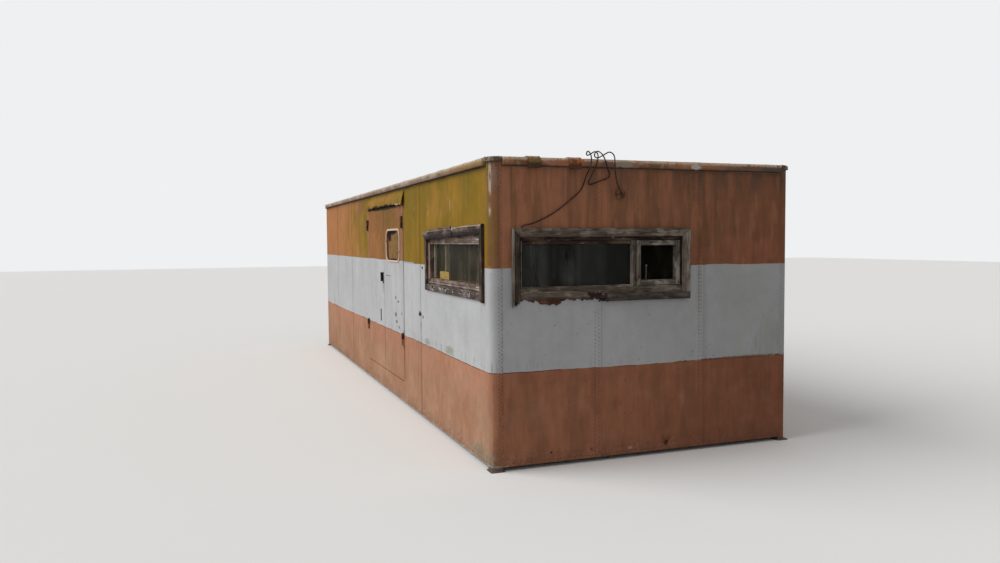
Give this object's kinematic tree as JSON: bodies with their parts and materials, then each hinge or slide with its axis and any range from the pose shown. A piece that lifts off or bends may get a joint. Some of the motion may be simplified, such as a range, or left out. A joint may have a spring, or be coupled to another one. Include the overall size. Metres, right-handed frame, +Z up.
{
  "type": "portable cabin",
  "caption": "Long single-room portable cabin on steel runners, riveted sheet walls, rolled roof edge, double side door and two low timber-framed windows.",
  "frame": {"origin": "centre of the cabin's plan, at ground level under the runners", "axes": "+X along the length towards the end wall with the window, -Y towards the door side, +Z up"},
  "size_m": [7.5822, 2.576, 2.2401],
  "materials": {
    "painted_sheet": "weathered",
    "roof_sheet": "weathered",
    "rusty_steel": "rusty",
    "door_paint": "weathered",
    "old_timber": "weathered",
    "floor_boards": "worn",
    "window_glass": "dusty",
    "rim_paint": "weathered",
    "infill_board": "weathered",
    "dark_iron": "worn",
    "cable_sheath": "weathered"
  },
  "bodies": {
    "cabin": {"skid_runners": "rusty_steel", "floor_side_rails": "rusty_steel", "floor_cross_members": "rusty_steel", "floor_deck": "floor_boards", "end_wall": "painted_sheet", "far_end_wall": "painted_sheet", "back_wall": "painted_sheet", "front_wall_window_bay": "painted_sheet", "front_wall_over_door": "painted_sheet", "front_wall_under_door": "painted_sheet", "front_wall_far_bay": "painted_sheet", "corner_sheet_front_near": "painted_sheet", "corner_sheet_back_near": "painted_sheet", "corner_sheet_front_far": "painted_sheet", "corner_sheet_back_far": "painted_sheet", "roof_panel": "roof_sheet", "roof_edge_near": "roof_sheet", "roof_edge_far": "roof_sheet", "roof_edge_front": "roof_sheet", "roof_edge_back": "roof_sheet", "roof_corner_caps": "roof_sheet", "door_frame": "door_paint", "door_hood": "rusty_steel", "frame_hinges": "dark_iron", "end_window_casing": "old_timber", "end_window_sash": "old_timber", "end_window_glass": "window_glass", "end_window_vent": "old_timber", "side_window_casing": "old_timber", "side_window_hood": "old_timber", "side_window_sash": "old_timber", "side_window_glass": "window_glass", "cable_eye": "dark_iron", "roof_edge_straps": "roof_sheet", "end_window_latch": "dark_iron", "supply_cable": "cable_sheath"},
    "door_near": {"door_leaf_near": "door_paint", "door_leaf_near_hinges": "dark_iron", "door_port_rim": "rim_paint", "door_port_panel": "infill_board"},
    "door_far": {"door_leaf_far": "door_paint", "door_leaf_far_hinges": "dark_iron", "door_handle": "dark_iron", "door_key_plate": "dark_iron"}
  },
  "joints": [
    {"name": "door_near_hinge", "type": "hinge", "parent": "cabin", "child": "door_near", "pos_m": [1.2125, -1.263, 1], "axis": [0, 0, 1], "range_deg": [0, 165]},
    {"name": "door_far_hinge", "type": "hinge", "parent": "cabin", "child": "door_far", "pos_m": [-0.4665, -1.263, 1], "axis": [0, 0, -1], "range_deg": [0, 165]}
  ]
}
